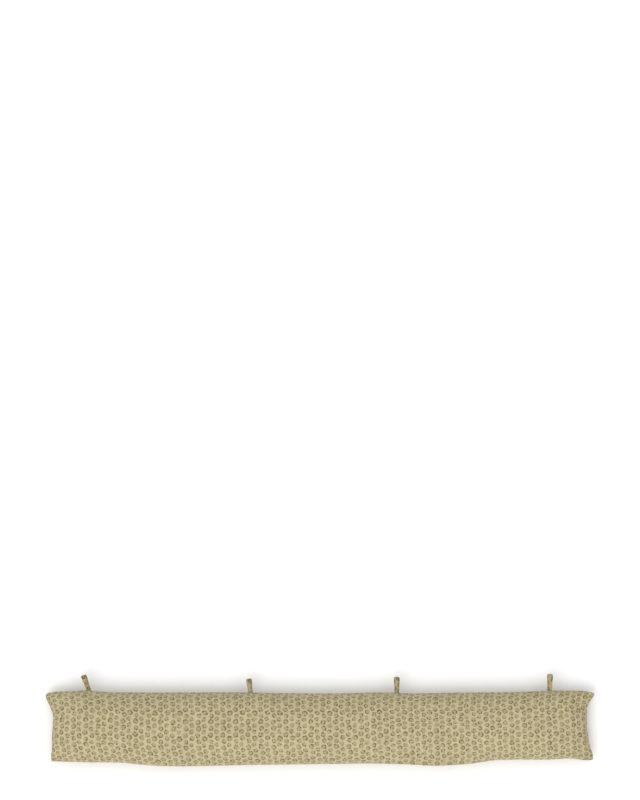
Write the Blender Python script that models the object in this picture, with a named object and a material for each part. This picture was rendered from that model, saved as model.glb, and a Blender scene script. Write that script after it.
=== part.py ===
"""Draught excluder: a long filled cushion with four strap loops caught in its top seam.

Metres, +Z up. The cushion lies on its back: +X runs along it, +Y runs across it towards the loops,
and its face looks up. The origin is on the surface, under the middle of the whole object's box.
"""

import math

import bmesh
import bpy
import numpy as np
from mathutils import Matrix, Vector

MM = 0.001

# Cushion, in mm.
LENGTH = 900.0  # from ear tip to ear tip
WIDTH = 118.0  # between the two long seams, before they wander
CROWN = 60.0  # highest point of the face
SEAM_HEIGHT = 26.0  # long seams above the surface
EAR_HEIGHT = 20.0  # end seams above the surface: the flat ears droop a little
BACK_SLACK = 32.0  # how far the back would hang under its seam if the surface were not there
END_ROUND = 85.0  # length over which the filling rises from an end seam to full height
FACE_ROUND = (2.2, 0.58)  # inner and outer exponent of the section across the face
BACK_ROUND = (2.4, 0.62)
COLUMNS = 88  # faces along
ROWS = 16  # faces across
END_CROWDING = 0.55  # 0 spreads the columns evenly, 1 crowds them most at the ends

# How far each long seam wanders outwards from its straight line: (along, out).
TOP_SEAM = [
    (-448, -1.5),
    (-440, 0.0),
    (-410, 2.0),
    (-378, 3.0),
    (-345, 0.5),
    (-300, 0.0),
    (-130, 0.0),
    (-60, -1.0),
    (30, -1.5),
    (90, 0.0),
    (150, -1.5),
    (215, -0.5),
    (330, 1.0),
    (400, 3.0),
    (440, 1.0),
    (450, -1.5),
]
BOTTOM_SEAM = [
    (-440, -5.0),
    (-380, -3.0),
    (-320, -2.0),
    (-295, 0.5),
    (-245, 3.5),
    (-190, 3.0),
    (-125, 1.5),
    (-50, 0.5),
    (33, -0.5),
    (98, -1.0),
    (138, 0.0),
    (190, 2.5),
    (230, 0.5),
    (256, -2.0),
    (282, -6.0),
    (320, -7.5),
    (374, -7.5),
    (413, -9.0),
    (440, -6.5),
    (447, -7.0),
]

# How far each end seam is drawn in from the line of the ear tips: (across, drawn_in).
LEFT_SEAM = [
    (-54, 10.0),
    (-46, 9.0),
    (-34, 10.0),
    (-12, 10.5),
    (8, 12.0),
    (22, 12.0),
    (29, 10.0),
    (34, 7.0),
    (43, 3.5),
    (53, 0.0),
    (57.5, 2.0),
]
RIGHT_SEAM = [
    (-52, 3.0),
    (-45, 2.0),
    (-35, 5.0),
    (-25, 8.0),
    (-15, 10.0),
    (-5, 11.0),
    (5, 12.5),
    (15, 12.0),
    (33, 11.5),
    (38, 10.5),
    (43, 7.5),
    (48, 4.0),
    (53, 1.0),
    (57.5, 0.0),
]

# Hanging loops, in mm: (along, length, lean in degrees towards the left end).
LOOPS = [
    (-379.5, 25.0, 20.0),
    (-114.0, 22.0, 7.5),
    (126.0, 26.0, 0.5),
    (376.5, 27.0, -1.5),
]
STRAP_WIDTH = 8.0
STRAP_PLY = 1.6  # thickness of the folded and stitched strap
LOOP_GAPE = 7.2  # widest opening between the two plies
LOOP_STEM = 3.0  # length over which the two plies lie together
LOOP_STEPS = 25  # points round the opening
CUSP_ANGLE = 0.6  # where the teardrop's outline leaves its cusp, in radians
GAP = 0.3  # between a loop and the cushion

CLOTH = {"colour": (0.456, 0.397, 0.238), "roughness": 0.85, "metallic": 0.0}


def smooth(rows, at):
    """Read a two-column table at any place, along a smooth curve through its rows."""
    place, value = np.array(rows, float).T
    slope = np.gradient(value, place)
    at = np.clip(at, place[0], place[-1])
    row = np.clip(np.searchsorted(place, at) - 1, 0, len(place) - 2)
    span = place[row + 1] - place[row]
    t = (at - place[row]) / span
    start = (1 + 2 * t) * (1 - t) ** 2 * value[row] + t * (1 - t) ** 2 * span * slope[row]
    end = t * t * (3 - 2 * t) * value[row + 1] - t * t * (1 - t) * span * slope[row + 1]
    return start + end


def top_seam(along):
    return WIDTH / 2 + smooth(TOP_SEAM, along)


def bottom_seam(along):
    return -WIDTH / 2 - smooth(BOTTOM_SEAM, along)


def left_seam(across):
    return -LENGTH / 2 + smooth(LEFT_SEAM, across)


def right_seam(across):
    return LENGTH / 2 - smooth(RIGHT_SEAM, across)


def mix(a, b, t):
    return a * (1 - t) + b * t


def plan(u, v):
    """Place on the surface of panel point u (0 to 1 along), v (0 to 1 across).

    The four seams are blended as a Coons patch: the sum of the two blends between facing seams, less
    the blend between the four corners.
    """
    low_left, low_right = LEFT_SEAM[0][0], RIGHT_SEAM[0][0]
    top_left, top_right = LEFT_SEAM[-1][0], RIGHT_SEAM[-1][0]
    left_y = mix(low_left, top_left, v)
    right_y = mix(low_right, top_right, v)
    left_x, right_x = left_seam(left_y), right_seam(right_y)
    low_x = mix(left_seam(low_left), right_seam(low_right), u)
    top_x = mix(left_seam(top_left), right_seam(top_right), u)
    low_y, top_y = bottom_seam(low_x), top_seam(top_x)
    # The long seams' tables start and end a little off the corners, so they are drawn on to them.
    low_y = low_y + mix(low_left - low_y[0, 0], low_right - low_y[-1, 0], u)
    top_y = top_y + mix(top_left - top_y[0, 0], top_right - top_y[-1, 0], u)
    x = mix(low_x, top_x, v) + mix(left_x, right_x, u)
    x = x - mix(mix(low_x[0, 0], low_x[-1, 0], u), mix(top_x[0, 0], top_x[-1, 0], u), v)
    y = mix(low_y, top_y, v) + mix(left_y, right_y, u)
    y = y - mix(mix(low_left, low_right, u), mix(top_left, top_right, u), v)
    return x, y


def section(v, exponents):
    """Height of a panel over its seams, 0 to 1, for v from 0 to 1 across: (1 - |t|^inner)^outer."""
    inner, outer = exponents
    return (1 - np.abs(2 * v - 1) ** inner) ** outer


def end_rise(u):
    """Height of the filling along the cushion, 0 to 1: a quarter ellipse at each end."""
    near = np.clip(np.minimum(u, 1 - u) * LENGTH / END_ROUND, 0, 1)
    return np.sqrt(1 - (1 - near) ** 2)


def panel_points(side):
    """Grid of panel points in mm, as (COLUMNS + 1, ROWS + 1, 3). side is +1 for the face, -1 for the back."""
    s = np.linspace(-1, 1, COLUMNS + 1)
    u = (mix(s, np.sin(s * math.pi / 2), END_CROWDING) + 1) / 2
    v = (np.sin(np.linspace(-1, 1, ROWS + 1) * math.pi / 2) + 1) / 2
    u, v = np.meshgrid(u, v, indexing="ij")
    x, y = plan(u, v)
    rise = end_rise(u)
    seam = mix(EAR_HEIGHT, SEAM_HEIGHT, rise)
    if side > 0:
        z = seam + (CROWN - seam) * rise * section(v, FACE_ROUND)
    else:
        z = np.maximum(seam - BACK_SLACK * rise * section(v, BACK_ROUND), 0)
    return np.stack([x, y, z], axis=-1)


def add_panel(bm, side):
    """Add one panel to bm as a grid whose points are moved on to the cushion."""
    points = panel_points(side) * MM
    made = bmesh.ops.create_grid(bm, x_segments=COLUMNS, y_segments=ROWS, size=1.0)
    for vert in made["verts"]:
        column = round((vert.co.x + 1) / 2 * COLUMNS)
        row = round((vert.co.y + 1) / 2 * ROWS)
        vert.co = Vector(points[column, row])
    if side < 0:
        faces = {face for vert in made["verts"] for face in vert.link_faces}
        bmesh.ops.reverse_faces(bm, faces=list(faces))


def build_cushion(collection):
    bm = bmesh.new()
    add_panel(bm, +1)
    add_panel(bm, -1)
    bmesh.ops.remove_doubles(bm, verts=bm.verts, dist=0.01 * MM)
    mesh = bpy.data.meshes.new("cushion")
    bm.to_mesh(mesh)
    bm.free()
    mesh.shade_smooth()
    cushion = bpy.data.objects.new("cushion", mesh)
    collection.objects.link(cushion)
    return cushion


def loop_outlines(length):
    """Side view of a loop from its root, in mm: the outline of its strap and that of its opening.

    The opening is a teardrop, y = stem + reach * s, z = gape / 2 * 1.54 * sin(a) * s, where
    s = (1 - cos(a)) / 2. The strap is the same curve, one ply further out.
    """
    reach = length - LOOP_STEM - STRAP_PLY
    a = np.linspace(CUSP_ANGLE, 2 * math.pi - CUSP_ANGLE, LOOP_STEPS)
    s = (1 - np.cos(a)) / 2
    opening = np.stack([LOOP_STEM + reach * s, LOOP_GAPE / 2 * 1.54 * np.sin(a) * s], axis=-1)
    along = np.gradient(opening, axis=0)
    along /= np.linalg.norm(along, axis=1, keepdims=True)
    outward = np.stack([-along[:, 1], along[:, 0]], axis=-1)
    strap = opening + STRAP_PLY * outward
    return [*strap, (0, -STRAP_PLY), (0, STRAP_PLY)], [*opening, (LOOP_STEM, 0)]


def build_loop(collection, number, along, length, lean):
    outline = bpy.data.curves.new(f"loop_{number}", "CURVE")
    outline.dimensions = "2D"
    outline.fill_mode = "BOTH"
    outline.extrude = STRAP_WIDTH / 2 * MM
    for points in loop_outlines(length):
        spline = outline.splines.new("POLY")
        spline.points.add(len(points) - 1)
        for point, (y, z) in zip(spline.points, points):
            point.co = (y * MM, z * MM, 0, 1)
        spline.use_cyclic_u = True
    loop = bpy.data.objects.new(f"loop_{number}", outline)
    collection.objects.link(loop)

    # The strap's width lies along X, its length along Y, and it leans about Z.
    turn = math.radians(lean)
    upright = Matrix(((0, 0, 1), (1, 0, 0), (0, 1, 0)))
    loop.rotation_euler = (Matrix.Rotation(turn, 3, "Z") @ upright).to_euler()
    clearance = GAP + STRAP_WIDTH / 2 * abs(math.sin(turn))
    loop.location = Vector((along, top_seam(along) + clearance, SEAM_HEIGHT)) * MM
    return loop


def add_cloth(obj):
    cloth = bpy.data.materials.new(f"{obj.name}_cloth")
    cloth.use_nodes = True
    shader = cloth.node_tree.nodes["Principled BSDF"]
    shader.inputs["Base Color"].default_value = (*CLOTH["colour"], 1.0)
    shader.inputs["Roughness"].default_value = CLOTH["roughness"]
    shader.inputs["Metallic"].default_value = CLOTH["metallic"]
    obj.data.materials.append(cloth)


def stand_on_origin(pieces, collection):
    """Hang the pieces on an empty that puts the middle of their box's floor at the origin."""
    bpy.context.view_layer.update()
    graph = bpy.context.evaluated_depsgraph_get()
    corners = []
    for piece in pieces:
        evaluated = piece.evaluated_get(graph)
        mesh = evaluated.to_mesh()
        corners += [evaluated.matrix_world @ vert.co for vert in mesh.vertices]
        evaluated.to_mesh_clear()
    low, high = np.min(corners, axis=0), np.max(corners, axis=0)
    frame = bpy.data.objects.new("draught_excluder_frame", None)
    collection.objects.link(frame)
    for piece in pieces:
        piece.parent = frame
    frame.location = (-(low[0] + high[0]) / 2, -(low[1] + high[1]) / 2, -low[2])


def main():
    for obj in list(bpy.data.objects):
        bpy.data.objects.remove(obj, do_unlink=True)
    collection = bpy.data.collections.new("draught_excluder")
    bpy.context.scene.collection.children.link(collection)

    pieces = [build_cushion(collection)]
    for number, (along, length, lean) in enumerate(LOOPS, start=1):
        pieces.append(build_loop(collection, number, along, length, lean))
    for piece in pieces:
        add_cloth(piece)
    stand_on_origin(pieces, collection)


main()
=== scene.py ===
import math

import bmesh
import bpy
import numpy as np
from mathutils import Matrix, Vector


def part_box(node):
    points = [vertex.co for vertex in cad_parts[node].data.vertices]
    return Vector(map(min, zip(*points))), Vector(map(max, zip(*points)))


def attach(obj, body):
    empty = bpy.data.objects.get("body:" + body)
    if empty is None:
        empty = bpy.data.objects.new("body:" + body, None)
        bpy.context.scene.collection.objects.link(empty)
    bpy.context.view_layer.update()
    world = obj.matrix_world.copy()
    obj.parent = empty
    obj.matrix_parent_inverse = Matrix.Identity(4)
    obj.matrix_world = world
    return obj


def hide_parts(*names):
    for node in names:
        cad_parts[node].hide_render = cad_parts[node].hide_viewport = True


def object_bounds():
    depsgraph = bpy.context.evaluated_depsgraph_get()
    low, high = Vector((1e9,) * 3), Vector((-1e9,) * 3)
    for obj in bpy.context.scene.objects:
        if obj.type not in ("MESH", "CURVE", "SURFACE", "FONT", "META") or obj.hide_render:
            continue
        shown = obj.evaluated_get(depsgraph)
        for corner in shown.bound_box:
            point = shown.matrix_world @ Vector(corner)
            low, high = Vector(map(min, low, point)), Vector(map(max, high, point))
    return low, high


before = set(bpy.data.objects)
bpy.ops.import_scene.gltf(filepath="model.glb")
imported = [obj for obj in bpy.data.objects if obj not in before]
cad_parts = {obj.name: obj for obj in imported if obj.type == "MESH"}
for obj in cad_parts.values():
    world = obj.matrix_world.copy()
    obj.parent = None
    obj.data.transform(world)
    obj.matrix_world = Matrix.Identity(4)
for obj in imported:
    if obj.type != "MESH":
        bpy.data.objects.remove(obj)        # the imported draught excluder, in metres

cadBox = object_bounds()
mm = 0.001


def mix(a, b, t):
    # a at t = 0, b at t = 1
    return a * (1 - t) + b * t


def smoothStep(low, high, x):
    # 3 t^2 - 2 t^3, with t running from 0 at low to 1 at high
    t = np.clip((x - low) / (high - low), 0, 1)
    return t * t * (3 - 2 * t)


def bell(x, centre, width):
    # exp(-((x - centre) / width)^2)
    return np.exp(-(((x - centre) / width) ** 2))


def ripple(x, waves, side):
    # sum of height * sin(2 pi x / length + start), where side +1 or -1 moves the start by shift
    return sum(height * np.sin(2 * math.pi * x / length + start + shift * side)
               for length, height, start, shift in waves)


def hexToLinear(code):
    # sRGB hex to linear: ((c + 0.055) / 1.055)^2.4, or c / 12.92 near black
    channels = [int(code[i:i + 2], 16) / 255 for i in (1, 3, 5)]
    return (*[c / 12.92 if c <= 0.04045 else ((c + 0.055) / 1.055) ** 2.4 for c in channels], 1.0)


def addNode(tree, kind, inputs=(), **settings):
    # one shader node, its settings, and its inputs as values or as sockets to link from
    node = tree.nodes.new("ShaderNode" + kind)
    for name, value in settings.items():
        setattr(node, name, value)
    for socket, value in dict(inputs).items():
        if isinstance(value, bpy.types.NodeSocket):
            tree.links.new(value, node.inputs[socket])
        else:
            node.inputs[socket].default_value = value
    return node


def unit(vectors):
    # each vector divided by its own length
    return vectors / np.maximum(np.linalg.norm(vectors, axis=-1, keepdims=True), 1e-12)


def leftOf(path):
    # the direction to the left of a flat path, at each of its points
    tangent = unit(np.gradient(path, axis=0))
    return np.stack([-tangent[:, 1], tangent[:, 0]], axis=-1)


def makePiece(name, points, quads, corners, material):
    # points (n, 3), quads (m, 4), and the place in the cloth of each quad's corners (m, 4, 2), in m
    mesh = bpy.data.meshes.new(name)
    mesh.vertices.add(len(points))
    mesh.vertices.foreach_set("co", points.astype(np.float32).ravel())
    mesh.loops.add(quads.size)
    mesh.loops.foreach_set("vertex_index", quads.astype(np.int32).ravel())
    mesh.polygons.add(len(quads))
    mesh.polygons.foreach_set("loop_start", np.arange(0, quads.size, 4, dtype=np.int32))
    mesh.uv_layers.new(name="Cloth").uv.foreach_set("vector", corners.astype(np.float32).ravel())
    mesh.update(calc_edges=True)
    mesh.validate()
    mesh.shade_smooth()
    mesh.materials.append(material)
    piece = bpy.data.objects.new(name, mesh)
    bpy.context.scene.collection.objects.link(piece)
    return piece


studio = {
    "lengthInFrame": 0.8577,    # share of the picture's width that the object spans
    "lowInFrame": 0.4002,       # how far under the picture's middle the object lies, as a share of its height
    "aspect": 800 / 640,
    "cameraHeight": 2.0,        # m
    "floorSize": 12,
    "floorDrop": 0.0002,        # keeps the floor just clear of the flat back
    "floorColour": "#fafafa",
    "worldStrength": 0.50,
    "keyFrom": (-0.38, -0.75, 1.10),    # from the lower left
    "keyPower": 1.2,
    "keySpread": 50,                    # degrees across, as of a large softbox
    "topFrom": (0.0, 0.05, 1.0),
    "topPower": 1.25,
    "topSpread": 100,
}


def makeCamera():
    # looks straight down on the face, with the loops at the top of the picture
    low, high = cadBox
    data = bpy.data.cameras.new("camera")
    data.type = "ORTHO"
    data.ortho_scale = (high.x - low.x) / studio["lengthInFrame"] * studio["aspect"]
    camera = bpy.data.objects.new("camera", data)
    middle = (low + high) / 2
    camera.location = (middle.x, middle.y + studio["lowInFrame"] * data.ortho_scale,
                       studio["cameraHeight"])
    bpy.context.scene.collection.objects.link(camera)
    bpy.context.scene.camera = camera


def makeFloor():
    # painted studio floor, matt and even
    material = bpy.data.materials.new("paintedStudioFloor")
    material.use_nodes = True
    shader = material.node_tree.nodes["Principled BSDF"]
    shader.inputs["Base Color"].default_value = hexToLinear(studio["floorColour"])
    shader.inputs["Roughness"].default_value = 0.9
    shader.inputs["Specular IOR Level"].default_value = 0.1
    bpy.ops.mesh.primitive_plane_add(size=studio["floorSize"], location=(0, 0, -studio["floorDrop"]))
    floor = bpy.context.object
    floor.name = "floor"
    floor.data.materials.append(material)


def addSoftbox(name, comesFrom, power, spread):
    # a distant soft light, even over the whole floor
    data = bpy.data.lights.new(name, "SUN")
    data.energy = power
    data.angle = math.radians(spread)
    light = bpy.data.objects.new(name, data)
    light.location = comesFrom
    light.rotation_euler = (-light.location).to_track_quat("-Z", "Y").to_euler()
    bpy.context.scene.collection.objects.link(light)


def makeLights():
    world = bpy.data.worlds.new("softWhiteRoom")
    world.use_nodes = True
    background = world.node_tree.nodes["Background"]
    background.inputs["Color"].default_value = (1, 1, 1, 1)
    background.inputs["Strength"].default_value = studio["worldStrength"]
    bpy.context.scene.world = world
    addSoftbox("keySoftbox", studio["keyFrom"], studio["keyPower"], studio["keySpread"])
    addSoftbox("topSoftbox", studio["topFrom"], studio["topPower"], studio["topSpread"])


bpy.context.scene.view_settings.view_transform = "Standard"
makeCamera()
makeFloor()
makeLights()
print("studio made")


cushion = {
    "cutLength": 0.906,         # m, each panel between its seams
    "cutWidth": 0.148,
    "lyingLength": 0.9,         # m, how long and wide it lies once it is filled
    "lyingWidth": 0.119,
    "seamHeight": 0.026,
    "faceRise": 0.034,          # crown over seam
    "backDrop": 0.032,          # how far the back would hang under its seam if no floor were there
    "endRound": 0.085,          # length over which the filling rises from an end seam
    "faceRound": (2.4, 0.56),   # section exponents, (1 - |t|^a)^b
    "backRound": (2.6, 0.60),
    "floorBlend": 0.0025,       # how softly the back lifts off the floor
    "earReach": 0.017,          # how far an ear stays flat from its corner
    "earFlat": 0.8,
    "rollMiddle": 0.180,        # where the bottom seam rolls up on to the face, along the cushion
    "rollHalfLength": 0.085,
    "roll": 0.011,              # how far it rolls, along a section of this radius
    "rollRadius": 0.036,
    "fineColumns": 520,
    "fineRows": 72,
    "columnCrowding": 0.55,     # how much closer the grid's lines are beside the seams
    "rowCrowding": 0.75,
    "seamDepth": 0.0011,        # m, groove of the seam and its half width
    "seamWidth": 0.0012,
    "lumpHeight": 0.0009,
    "sidePuckerHeight": 0.00028,
    "sidePuckerReach": 0.006,   # how far in from its seam a pucker dies out
    "endPuckerHeight": 0.00045,
    "endPuckerReach": 0.010,
}

# Waves of the filling's lumps and of the seams' puckers: length in m, share of the height, start and shift in
# radians. The shift makes the two panels differ.
lumpWaves = [(0.137, 0.6, 0.4, 1), (0.083, 0.4, 2.1, 0)]
sidePuckerWaves = [(0.0073, 0.5, 0, 0.3), (0.0117, 0.6, 1.7, 0), (0.0191, 0.5, 4.0, 1)]
endPuckerWaves = [(0.0083, 0.5, 0, 0.9), (0.0139, 0.6, 2.2, 0), (0.0231, 0.6, 5.0, 1)]

creases = {
    "columns": 200,
    "rows": 30,
    "frames": 16,
    "hold": 0.15,               # how firmly each point is held to its place, 0 to 1
    "tooLarge": 0.02,           # the cut panels are 2% larger than the filled form
    "stretch": 15,
    "shear": 5,
    "bend": 0.3,
    "pressure": 1.0,
    "swellReach": 9,            # samples: wider swells than this are the form's own, and are taken off
    "share": 0.5,               # how much of the creasing is kept
    "clearOfSeam": 0.010,       # m
}

cotton = {
    "repeat": 41.3,             # mm, both ways
    "threadPitch": 0.9,         # mm: real cotton has about 0.45, drawn at twice that so that it shows
    "threadRelief": 0.12,       # mm
    "bleed": 1.1,               # mm that the ink wanders at an edge
    "spotScale": 1 / 0.93,
    "band": 0.72,               # middle of the marks' ring, as a share of the spot's radius
    "paintedSeamShadeWidth": 2.5,          # mm over which painted shade darkens the cloth into the seam
    "backOffset": 0.3,          # m, so that the back is cut from another part of the cloth
    "roughness": 0.88,
    "inkSmoother": 0.08,
    "sheen": 0.12,
}

# The animal spots of one repeat: place in mm, radius in mm, turn in degrees, and how far the ring of marks is
# open (0 to 1). They are laid out in staggered columns.
spots = [
    # x, y, radius, turn, open
    (4.0, 2.2, 4.1, 20, 0.45),
    (13.6, 6.8, 3.6, 130, 0.60),
    (24.9, 2.9, 4.3, 250, 0.40),
    (34.2, 7.6, 3.5, 75, 0.70),
    (5.9, 12.9, 3.8, 200, 0.55),
    (15.4, 17.0, 4.4, 310, 0.35),
    (25.6, 12.4, 3.7, 15, 0.60),
    (36.5, 17.9, 4.0, 165, 0.50),
    (4.1, 22.8, 3.9, 100, 0.50),
    (14.4, 27.6, 3.5, 280, 0.65),
    (25.2, 23.0, 4.2, 60, 0.45),
    (35.2, 28.3, 3.8, 220, 0.55),
    (5.6, 33.3, 4.2, 340, 0.40),
    (15.0, 37.7, 3.7, 150, 0.60),
    (26.4, 33.6, 3.9, 30, 0.50),
    (35.4, 38.4, 3.6, 270, 0.60),
]


def nearestSpot(tree, place):
    # place less each spot's middle, wrapped to one repeat, turned and divided by the spot's radius: keeps
    # the shortest such vector, so its length is 1 on the rim of the nearest spot, and that spot's opening
    half = cotton["repeat"] / 2
    best = bestLength = bestOpen = None
    for x, y, radius, turn, opening in spots:
        shrink = 1 / (radius * cotton["spotScale"])
        away = addNode(tree, "VectorMath", {0: place, 1: (x, y, 0)}, operation="SUBTRACT")
        wrapped = addNode(tree, "VectorMath", {0: away.outputs[0], 1: (half, half, 1), 2: (-half, -half, -1)},
                          operation="WRAP")
        local = addNode(tree, "Mapping", {"Vector": wrapped.outputs[0], "Scale": (shrink, shrink, 0),
                                          "Rotation": (0, 0, math.radians(turn))}).outputs[0]
        length = addNode(tree, "VectorMath", {0: local}, operation="LENGTH").outputs["Value"]
        if best is None:
            best, bestLength, bestOpen = local, length, opening
            continue
        nearer = addNode(tree, "Math", {0: length, 1: bestLength}, operation="LESS_THAN").outputs[0]
        best = addNode(tree, "Mix", {"Factor": nearer, 4: best, 5: local}, data_type="VECTOR").outputs[1]
        bestOpen = addNode(tree, "Mix", {"Factor": nearer, 2: bestOpen, 3: opening}).outputs[0]
        bestLength = addNode(tree, "Math", {0: length, 1: bestLength}, operation="MINIMUM").outputs[0]
    return best, bestLength, bestOpen


def paintedSeamShade(tree, place):
    # 1 on the seam and 0 from the crease width inside it: how much painted shade darkens the cloth into the
    # seam
    axes = addNode(tree, "SeparateXYZ", {0: place})
    across = addNode(tree, "Math", {0: axes.outputs["Y"], 1: cotton["backOffset"] / mm}, operation="MODULO")
    edges = []
    for value, cut in ((axes.outputs["X"], cushion["cutLength"]), (across.outputs[0], cushion["cutWidth"])):
        half = cut / mm / 2
        centred = addNode(tree, "Math", {0: value, 1: half}, operation="SUBTRACT")
        distance = addNode(tree, "Math", {0: centred.outputs[0]}, operation="ABSOLUTE")
        edges.append(addNode(tree, "MapRange", {"Value": distance.outputs[0], "From Max": half,
                                                "From Min": half - cotton["paintedSeamShadeWidth"]}).outputs[0])
    return addNode(tree, "Math", {0: edges[0], 1: edges[1]}, operation="MAXIMUM").outputs[0]


def spotPrint(tree, place, ground, fill, mark):
    # ink that wanders by noise about 2.5 mm across, at up to twice the bleed each way
    wander = addNode(tree, "TexNoise", {"Vector": place, "Scale": 0.4, "Detail": 2.0})
    centred = addNode(tree, "VectorMath", {0: wander.outputs["Color"], 1: (0.5,) * 3}, operation="SUBTRACT")
    bled = addNode(tree, "VectorMath", {0: centred.outputs[0], 1: (cotton["bleed"] * 4,) * 3, 2: place},
                   operation="MULTIPLY_ADD")
    local, length, opening = nearestSpot(tree, bled.outputs[0])

    # ring of marks: a band round the middle one, broken where noise about 3 mm across, and more so on the
    # spot's own -X side, falls under the spot's opening
    parts = addNode(tree, "SeparateXYZ", {0: local})
    breaks = addNode(tree, "TexNoise", {"Vector": place, "Scale": 0.32, "Detail": 1.0})
    wave = addNode(tree, "MapRange", {"Value": breaks.outputs[0], "From Min": 0.25, "From Max": 0.75,
                                      "To Min": -1.3, "To Max": 1.3}, clamp=False)
    shifted = addNode(tree, "Math", {0: parts.outputs["X"], 1: 0.45, 2: wave.outputs[0]},
                      operation="MULTIPLY_ADD")
    offOpening = addNode(tree, "Math", {0: shifted.outputs[0], 1: opening}, operation="SUBTRACT")
    present = addNode(tree, "MapRange", {"Value": offOpening.outputs[0], "From Min": -0.62,
                                         "From Max": -0.32}, interpolation_type="SMOOTHSTEP")
    fromBand = addNode(tree, "Math", {0: length, 1: cotton["band"]}, operation="SUBTRACT")
    bandGap = addNode(tree, "Math", {0: fromBand.outputs[0]}, operation="ABSOLUTE")
    band = addNode(tree, "MapRange", {"Value": bandGap.outputs[0], "From Min": 0.30, "From Max": 0.18},
                   interpolation_type="SMOOTHSTEP")
    ring = addNode(tree, "Math", {0: present.outputs[0], 1: band.outputs[0]}, operation="MULTIPLY")
    disc = addNode(tree, "MapRange", {"Value": length, "From Min": 1.08, "From Max": 0.92},
                   interpolation_type="SMOOTHSTEP")
    filled = addNode(tree, "Mix", {"Factor": disc.outputs[0], 6: hexToLinear(ground), 7: hexToLinear(fill)},
                     data_type="RGBA")
    marked = addNode(tree, "Mix", {"Factor": ring.outputs[0], 6: filled.outputs[2], 7: hexToLinear(mark)},
                     data_type="RGBA")
    return marked.outputs[2], ring.outputs[0]


def makeCotton(name, ground, fill, mark):
    # Plain-weave cotton, reactive printed and washed: matt and a little fuzzy, with ink that bleeds into the
    # threads and lies a little smoother than bare thread
    material = bpy.data.materials.new(name)
    material.use_nodes = True
    tree = material.node_tree
    shader = tree.nodes["Principled BSDF"]
    uv = addNode(tree, "UVMap", uv_map="Cloth")
    place = addNode(tree, "VectorMath", {0: uv.outputs[0], "Scale": 1 / mm}, operation="SCALE").outputs[0]
    printed, ink = spotPrint(tree, place, ground, fill, mark)

    # cloth takes the dye unevenly, in soft patches about 30 mm across and in threads that run light and dark,
    # and painted shade darkens it into the seams
    patches = addNode(tree, "TexNoise", {"Vector": place, "Scale": 0.033, "Detail": 2.0})
    threads = []
    for stretch in ((1.1, 0.06, 1), (0.06, 1.1, 1)):
        run = addNode(tree, "Mapping", {"Vector": place, "Scale": stretch})
        slub = addNode(tree, "TexNoise", {"Vector": run.outputs[0], "Scale": 1.0, "Detail": 1.0})
        threads.append(slub.outputs[0])
    slubs = addNode(tree, "Math", {0: threads[0], 1: threads[1]}, operation="ADD")
    shade = addNode(tree, "Math", {0: slubs.outputs[0], 1: patches.outputs[0]}, operation="ADD")
    # painted shade: the tone is pulled down into each seam's crease
    withPaintedSeamShade = addNode(tree, "Math", {0: shade.outputs[0], 1: paintedSeamShade(tree, place)}, operation="SUBTRACT")
    value = addNode(tree, "MapRange", {"Value": withPaintedSeamShade.outputs[0], "From Min": 0.9, "From Max": 2.1,
                                       "To Min": 0.86, "To Max": 1.14})
    dyed = addNode(tree, "HueSaturation", {"Value": value.outputs[0], "Color": printed})
    tree.links.new(dyed.outputs[0], shader.inputs["Base Color"])

    # threads over and under each other: sin along by sin across, and the slubs
    axes = addNode(tree, "SeparateXYZ", {0: place})
    sines = []
    for axis in ("X", "Y"):
        phase = addNode(tree, "Math", {0: axes.outputs[axis], 1: 2 * math.pi / cotton["threadPitch"]},
                        operation="MULTIPLY")
        sines.append(addNode(tree, "Math", {0: phase.outputs[0]}, operation="SINE").outputs[0])
    weave = addNode(tree, "Math", {0: sines[0], 1: sines[1]}, operation="MULTIPLY")
    height = addNode(tree, "Math", {0: slubs.outputs[0], 1: 0.8, 2: weave.outputs[0]},
                     operation="MULTIPLY_ADD")
    bump = addNode(tree, "Bump", {"Height": height.outputs[0], "Distance": cotton["threadRelief"] * mm,
                                  "Strength": 0.6})
    tree.links.new(bump.outputs[0], shader.inputs["Normal"])

    rough = addNode(tree, "MapRange", {"Value": ink, "To Min": cotton["roughness"],
                                       "To Max": cotton["roughness"] - cotton["inkSmoother"]})
    tree.links.new(rough.outputs[0], shader.inputs["Roughness"])
    shader.inputs["Specular IOR Level"].default_value = 0.25
    shader.inputs["Sheen Weight"].default_value = cotton["sheen"]
    shader.inputs["Sheen Roughness"].default_value = 0.5
    return material


# undyed sand ground, tan inside each spot, olive brown marks round it
coverCotton = makeCotton("printedPlainWeaveCotton", "#bcb190", "#aa9d75", "#74683f")
# the same cloth in darker colours: painted shade standing in for the shade on the loops
shadedStrapCotton = makeCotton("printedCottonStrapPaintedShade", "#a59a74", "#8d825a", "#5c5133")
print("cotton made")


def seamLoop(node):
    # the points where the upward faces of the CAD cushion meet its downward ones, in order round it
    bm = bmesh.new()
    bm.from_mesh(node.data)
    bmesh.ops.remove_doubles(bm, verts=bm.verts, dist=0.01 * mm)
    bm.normal_update()
    seam = {e for e in bm.edges if (e.link_faces[0].normal.z > 0) != (e.link_faces[1].normal.z > 0)}
    start = min((v for e in seam for v in e.verts), key=lambda v: v.co.x + v.co.y)
    edge = max((e for e in start.link_edges if e in seam), key=lambda e: e.other_vert(start).co.x)
    points, vert = [start.co.copy()], edge.other_vert(start)
    while vert is not start:
        points.append(vert.co.copy())
        edge = next(e for e in vert.link_edges if e in seam and e is not edge)
        vert = edge.other_vert(vert)
    bm.free()
    return np.array(points)


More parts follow.
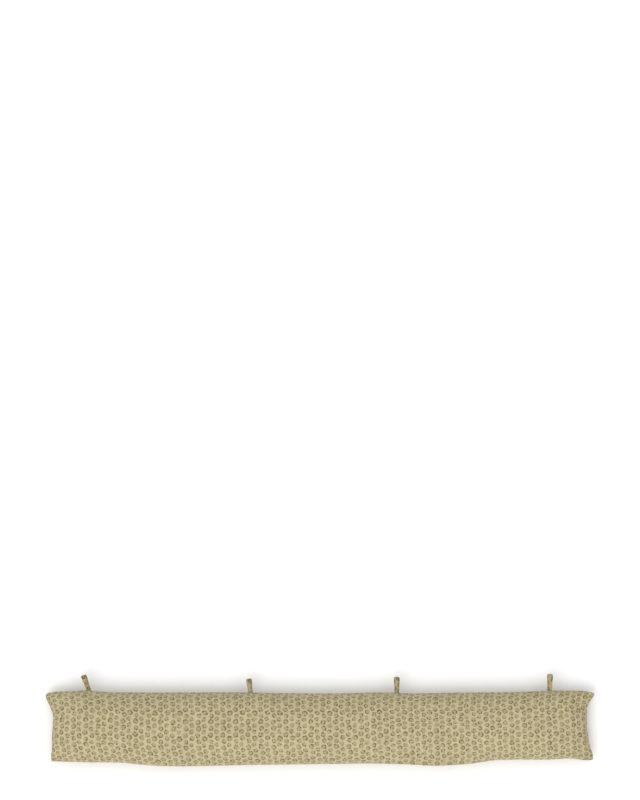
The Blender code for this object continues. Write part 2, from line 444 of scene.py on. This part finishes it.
def seamSides(points):
    # cuts the loop at its four corners: bottom and top run to +X, left and right run to +Y
    low, high = points.min(0), points.max(0)
    corners = [int(np.argmin(np.abs(points[:, 0] - x) + np.abs(points[:, 1] - y)))
               for x, y in ((low[0], low[1]), (high[0], low[1]), (high[0], high[1]), (low[0], high[1]))]
    points = np.roll(points, -corners[0], axis=0)
    a, b, c = [(k - corners[0]) % len(points) for k in corners[1:]]
    points = np.concatenate([points, points[:1]])
    return points[:a + 1], points[b:c + 1][::-1], points[c:][::-1], points[a:b + 1]


def along(side, t, axis):
    # the point a share t of the way along a side, measured on one axis
    share = (side[:, axis] - side[0, axis]) / (side[-1, axis] - side[0, axis])
    share = np.maximum.accumulate(share)
    return np.stack([np.interp(t, share, side[:, k]) for k in range(3)], axis=-1)


seamBottom, seamTop, seamLeft, seamRight = seamSides(seamLoop(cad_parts["cushion"]))
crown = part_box("cushion")[1].z


def endRise(u):
    # quarter ellipse at each end: sqrt(1 - (1 - near)^2), near = distance to the end seam / endRound
    near = np.clip(np.minimum(u, 1 - u) * cushion["lyingLength"] / cushion["endRound"], 0, 1)
    return np.sqrt(1 - (1 - near) ** 2)


def arcLength(x, y):
    return np.concatenate([[0], np.cumsum(np.hypot(np.diff(x), np.diff(y)))])


def evenAngle(q, side):
    # the section angle that lies a share q of the way along the cloth, from the bottom seam to the top one
    inner, outer = cushion["faceRound"] if side > 0 else cushion["backRound"]
    angle = np.linspace(0, math.pi, 2001)
    c, s = np.cos(angle), np.sin(angle)
    y = -np.sign(c) * np.abs(c) ** (2 / inner) * cushion["lyingWidth"] / 2
    z = (cushion["faceRise"] if side > 0 else cushion["backDrop"]) * s ** (2 * outer)
    if side < 0:
        z = np.minimum(z, cushion["seamHeight"])
    arc = arcLength(y, z)
    return np.interp(q * arc[-1], arc, angle)


def evenPlace(p):
    # the place along the crown that lies a share p of the way along the cloth, between the drawn-in ends
    u = np.linspace(0, 1, 4001)
    arc = arcLength(u * 0.88, endRise(u) * cushion["faceRise"])
    return np.interp(p * arc[-1], arc, u)


def panelForm(p, q, side):
    # A superellipse section carried between the four seams. At section angle a, the place across is
    # sign(cos a) |cos a|^(2 / inner) and the height is |sin a|^(2 outer) times the end rise. The plan is the
    # Coons patch of the seams: side to side, plus end to end, less the four corners. side is +1 for the face
    # and -1 for the back, and p and q are shares of the cut length and width.
    angle = side * evenAngle(q, side)
    middle = (cushion["rollMiddle"] - seamBottom[0, 0]) / (seamBottom[-1, 0] - seamBottom[0, 0])
    here = np.exp(-((p - middle) / (cushion["rollHalfLength"] / cushion["lyingLength"])) ** 4)
    angle = angle + here * cushion["roll"] / cushion["rollRadius"] * ((1 + np.cos(angle)) / 2) ** 2
    c, s = np.cos(angle), np.sin(angle)
    faceUp = s >= 0
    inner = np.where(faceUp, cushion["faceRound"][0], cushion["backRound"][0])
    outer = np.where(faceUp, cushion["faceRound"][1], cushion["backRound"][1])
    v = (1 - np.sign(c) * np.abs(c) ** (2 / inner)) / 2
    u = mix(p, evenPlace(p), 1 - (2 * v - 1) ** 2)

    form = mix(along(seamBottom, u, 0), along(seamTop, u, 0), v[..., None])
    form = form + mix(along(seamLeft, v, 1), along(seamRight, v, 1), u[..., None])
    form = form - mix(mix(seamBottom[0], seamBottom[-1], u[..., None]),
                      mix(seamTop[0], seamTop[-1], u[..., None]), v[..., None])

    # an ear stays flat near its corner: full becomes full^2 / (full + ear)
    full = endRise(u) * np.abs(s) ** (2 * outer)
    toEnd = np.minimum(u, 1 - u) * cushion["lyingLength"]
    toSide = np.minimum(v, 1 - v) * cushion["lyingWidth"]
    ear = cushion["earFlat"] * np.exp(-(toEnd ** 2 + toSide ** 2) / (2 * cushion["earReach"] ** 2))
    full = full * full / np.maximum(full + ear, 1e-9)
    up = form[..., 2] + (crown - form[..., 2]) * full

    # the back lies on the floor, and leaves it by a parabola: (down + blend)^2 / (4 blend)
    down = form[..., 2] - cushion["backDrop"] * full
    blend = cushion["floorBlend"]
    down = np.where(down > blend, down, np.maximum(down + blend, 0) ** 2 / (4 * blend))
    form[..., 2] = np.where(faceUp, up, down)
    return form


def cushionGrid(p, q):
    # both panels on one grid, as (2, columns, rows, 3)
    p, q = np.meshgrid(p, q, indexing="ij")
    return np.stack([panelForm(p, q, 1), panelForm(p, q, -1)])


def gridQuads(index, flip):
    quads = np.stack([index[:-1, :-1], index[1:, :-1], index[1:, 1:], index[:-1, 1:]], axis=2)
    quads = quads.reshape(-1, 4, *index.shape[2:])
    return quads[:, ::-1] if flip else quads


def closedMesh(grid):
    # points and quads of both panels: the back shares its border with the face
    columns, rows = grid.shape[1:3]
    face = np.arange(columns * rows).reshape(columns, rows)
    inside = np.zeros((columns, rows), bool)
    inside[1:-1, 1:-1] = True
    back = face.copy()
    back[inside] = columns * rows + np.arange(inside.sum())
    points = np.concatenate([grid[0].reshape(-1, 3), grid[1][inside]])
    return points, np.concatenate([gridQuads(face, False), gridQuads(back, True)]), face, back


def gridNormals(grid, side):
    # cross product of the grid's two directions, made unit length
    return unit(np.cross(np.gradient(grid, axis=0), np.gradient(grid, axis=1)) * side)


def cubicWeights(place, count):
    # Catmull-Rom: the four neighbours of each place on a row of count samples, and their weights
    place = place * (count - 1)
    first = np.clip(np.floor(place).astype(int), 0, count - 2)
    t = place - first
    weights = np.stack([-t + 2 * t ** 2 - t ** 3, 2 - 5 * t ** 2 + 3 * t ** 3,
                        t + 4 * t ** 2 - 3 * t ** 3, -t ** 2 + t ** 3], axis=-1) / 2
    return np.clip(first[:, None] + np.arange(-1, 3), 0, count - 1), weights


def resample(field, p, q):
    # reads a coarse (columns, rows) field at finer places, cubic both ways
    rows, weights = cubicWeights(p, field.shape[0])
    field = (field[rows] * weights[:, :, None]).sum(1)
    columns, weights = cubicWeights(q, field.shape[1])
    return (field[:, columns] * weights[None]).sum(2)


def simulatedCreases(p, q):
    # Blender's cloth on the start form, a little too large for it and softly held: returns how far the cloth
    # moves along its own normal, as (2, columns, rows)
    grid = cushionGrid(p, q)
    points, quads, face, back = closedMesh(grid)
    mesh = bpy.data.meshes.new("coverInCloth")
    mesh.from_pydata(points.tolist(), [], quads.tolist())
    cover = bpy.data.objects.new("coverInCloth", mesh)
    scene = bpy.context.scene
    scene.collection.objects.link(cover)
    held = cover.vertex_groups.new(name="held")
    held.add(list(range(len(points))), creases["hold"], "REPLACE")
    cloth = cover.modifiers.new("cloth", "CLOTH")
    settings = cloth.settings
    settings.quality = 6
    settings.tension_stiffness = settings.compression_stiffness = creases["stretch"]
    settings.shear_stiffness = creases["shear"]
    settings.bending_stiffness = creases["bend"]
    settings.use_pressure = True
    settings.uniform_pressure_force = creases["pressure"]
    settings.effector_weights.gravity = 0.0
    settings.shrink_min = -creases["tooLarge"]
    settings.vertex_group_mass = "held"
    cloth.collision_settings.use_collision = False
    cloth.point_cache.frame_end = creases["frames"]
    for step in range(1, creases["frames"] + 1):
        scene.frame_set(step)
    moved = cover.evaluated_get(bpy.context.evaluated_depsgraph_get()).to_mesh()
    after = np.empty(len(points) * 3, np.float32)
    moved.vertices.foreach_get("co", after)
    shift = after.reshape(-1, 3) - points
    bpy.data.objects.remove(cover)
    scene.frame_set(1)
    print("cloth simulated")
    return np.stack([(shift[face] * gridNormals(grid[0], 1)).sum(-1),
                     (shift[back] * gridNormals(grid[1], -1)).sum(-1)])


def withoutSwell(field, reach):
    # takes off the field's own mean over about reach samples each way, which leaves only the creases
    kernel = np.hanning(2 * reach + 1)
    kernel = kernel / kernel.sum()
    wide = np.pad(field, reach, mode="reflect")
    wide = np.apply_along_axis(np.convolve, 0, wide, kernel, "valid")
    wide = np.apply_along_axis(np.convolve, 1, wide, kernel, "valid")
    return field - wide


def crowded(count, crowding):
    # 0 to 1 in count steps, closer together at both ends: t - crowding sin(2 pi t) / (2 pi)
    t = np.linspace(0, 1, count + 1)
    return t - crowding * np.sin(2 * math.pi * t) / (2 * math.pi)


def panelRelief(alongCloth, acrossCloth, creasing, side):
    # creases, plus lumps of filling, plus the puckers that the seam thread draws up, less the seam's groove
    toEnd = np.minimum(alongCloth, cushion["cutLength"] - alongCloth)
    toSide = np.minimum(acrossCloth, cushion["cutWidth"] - acrossCloth)
    toSeam = np.minimum(toEnd, toSide)
    relief = creasing * creases["share"] * (1 - bell(toSeam, 0, creases["clearOfSeam"]))
    fullness = np.sin(math.pi * acrossCloth / cushion["cutWidth"]) ** 1.5
    lumps = ripple(alongCloth + 0.3 * acrossCloth, lumpWaves, side) * fullness
    relief = relief + cushion["lumpHeight"] * lumps
    sidePuckers = ripple(alongCloth, sidePuckerWaves, side) * np.exp(-toSide / cushion["sidePuckerReach"])
    endPuckers = ripple(acrossCloth, endPuckerWaves, side) * np.exp(-toEnd / cushion["endPuckerReach"])
    relief = relief + cushion["sidePuckerHeight"] * sidePuckers + cushion["endPuckerHeight"] * endPuckers
    return relief - cushion["seamDepth"] * bell(toSeam, 0, cushion["seamWidth"])


def makeCushion():
    p = crowded(cushion["fineColumns"], cushion["columnCrowding"])
    q = crowded(cushion["fineRows"], cushion["rowCrowding"])
    grid = cushionGrid(p, q)
    coarseP = np.linspace(0, 1, creases["columns"] + 1)
    coarseQ = np.linspace(0, 1, creases["rows"] + 1)
    creasing = np.zeros((2, len(coarseP), len(coarseQ)))
    creasing = simulatedCreases(coarseP, coarseQ)
    alongCloth, acrossCloth = np.meshgrid(p * cushion["cutLength"], q * cushion["cutWidth"], indexing="ij")
    for side, panel in ((1, 0), (-1, 1)):
        fine = resample(withoutSwell(creasing[panel], creases["swellReach"]), p, q)
        relief = panelRelief(alongCloth, acrossCloth, fine, side)
        grid[panel] = grid[panel] + gridNormals(grid[panel], side) * relief[..., None]
    border = grid.mean(0)
    for edge in (np.s_[0, :], np.s_[-1, :], np.s_[:, 0], np.s_[:, -1]):
        grid[0][edge] = grid[1][edge] = border[edge]
    grid[..., 2] = np.maximum(grid[..., 2], 0)

    points, quads, _, _ = closedMesh(grid)
    cloth = np.stack([alongCloth, acrossCloth], axis=-1)
    backCloth = cloth + np.array([0, cotton["backOffset"]])
    corners = np.concatenate([gridQuads(cloth, False), gridQuads(backCloth, True)])
    piece = makePiece("filled_cover", points, quads, corners, coverCotton)
    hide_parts("cushion")
    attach(piece, "root")


makeCushion()
print("cushion made")


strap = {
    "width": 7.6 * mm,
    "ply": 1.5 * mm,            # folded and stitched strap
    "intoSeam": 4.0 * mm,       # how far its ends run into the seam
    "stem": 2.5 * mm,
    "cusp": 0.35,               # radians at which the teardrop leaves its point
    "belly": 1.54,              # makes the teardrop's widest place the gape
    "skew": 0.9 * mm,           # how far the fold is twisted sideways
    "stitchIn": 1.1 * mm,       # stitch line from the strap's edge
    "stitchDip": 0.28,          # share of the thickness that the stitches draw in
    "stitchWidth": 0.09,        # as a share of half the strap's width
    "pathSteps": 90,
    "leadSteps": 8,
    "sectionPoints": 36,
}


def loopFrame(node):
    # root, direction and length of a CAD loop, from the spread of its points seen from above
    points = np.array([v.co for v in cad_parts[node].data.vertices], float)
    flat = points[:, :2] - points[:, :2].mean(0)
    direction = np.linalg.eigh(flat.T @ flat)[1][:, -1]
    direction = direction * np.sign(direction[1])
    side = np.array([direction[1], -direction[0]])
    reach, sideways = points[:, :2] @ direction, points[:, :2] @ side
    root = direction * reach.min() + side * (sideways.min() + sideways.max()) / 2
    low, high = points[:, 2].min(), points[:, 2].max()
    gape = high - low - 2 * strap["ply"]
    return np.array([*root, (low + high) / 2]), direction, side, reach.max() - reach.min(), gape


def loopPath(length, gape):
    # half the strap's thickness outside a teardrop: y = stem + reach s, z = gape / 2 * belly sin(a) s,
    # s = (1 - cos(a)) / 2, with both ends run straight into the seam
    reach = length - strap["stem"] - strap["ply"]
    a = np.linspace(strap["cusp"], 2 * math.pi - strap["cusp"], strap["pathSteps"])
    s = (1 - np.cos(a)) / 2
    inner = np.stack([strap["stem"] + reach * s, gape / 2 * strap["belly"] * np.sin(a) * s], axis=-1)
    middle = inner + strap["ply"] / 2 * leftOf(inner)
    ends = np.linspace(-strap["intoSeam"], strap["stem"], strap["leadSteps"])[:-1]
    lead = np.stack([ends, np.full(len(ends), strap["ply"] * 0.52)], axis=-1)
    tail = lead[::-1] * np.array([1, -1])
    return np.concatenate([lead, middle, tail])


def strapSection():
    # rounded strap section, thinner along its two stitch lines: half thickness (1 - |x|^8)^(1/2)
    a = np.linspace(0, 2 * math.pi, strap["sectionPoints"], endpoint=False)
    x = np.sign(np.cos(a)) * np.abs(np.cos(a)) ** 0.5
    z = np.sign(np.sin(a)) * (1 - np.abs(x) ** 8) ** 0.5
    line = 1 - strap["stitchIn"] / (strap["width"] / 2)
    z = z * (1 - strap["stitchDip"] * bell(np.abs(x), line, strap["stitchWidth"]))
    return np.stack([x * strap["width"] / 2, z * strap["ply"] / 2], axis=-1)


def closeEnds(piece):
    # caps the two cut ends of a strap, which lie inside the seam
    bm = bmesh.new()
    bm.from_mesh(piece.data)
    bmesh.ops.holes_fill(bm, edges=[e for e in bm.edges if e.is_boundary], sides=0)
    bmesh.ops.recalc_face_normals(bm, faces=bm.faces)
    bm.to_mesh(piece.data)
    bm.free()
    piece.data.shade_smooth()


def makeLoop(node, number):
    # The strap's section carried along the teardrop: each section point lies its own thickness off the path
    # and its own width to the side, and the fold's twist moves it sideways with its height
    root, direction, side, length, gape = loopFrame(node)
    path, section = loopPath(length, gape), strapSection()
    out = leftOf(path)
    lengthwise = path[:, None, 0] + out[:, None, 0] * section[None, :, 1]
    upward = path[:, None, 1] + out[:, None, 1] * section[None, :, 1]
    twist = -strap["skew"] * upward / (gape / 2) * smoothStep(0, length, lengthwise)
    sideways = section[None, :, 0] + twist
    flat = root[:2] + lengthwise[..., None] * direction + sideways[..., None] * side
    grid = np.concatenate([flat, (root[2] + upward)[..., None]], axis=-1)

    steps, around = grid.shape[:2]
    index = np.arange(steps * around).reshape(steps, around)
    index = np.concatenate([index, index[:, :1]], axis=1)
    # each strap is cut from another part of the cloth, across from the panels
    cutAcross = np.concatenate([section[:, 0], section[:1, 0]]) + 0.5 + 0.05 * number
    cutAlong = arcLength(path[:, 0], path[:, 1]) + 2 * cotton["backOffset"]
    cloth = np.stack(np.broadcast_arrays(cutAcross[None, :], cutAlong[:, None]), axis=-1)
    piece = makePiece(f"hanging_{node}", grid.reshape(-1, 3), gridQuads(index, False),
                      gridQuads(cloth, False), shadedStrapCotton)
    closeEnds(piece)
    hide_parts(node)
    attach(piece, "root")


for number in range(1, 5):
    makeLoop(f"loop_{number}", number)
print("loops made")


bpy.context.view_layer.update()
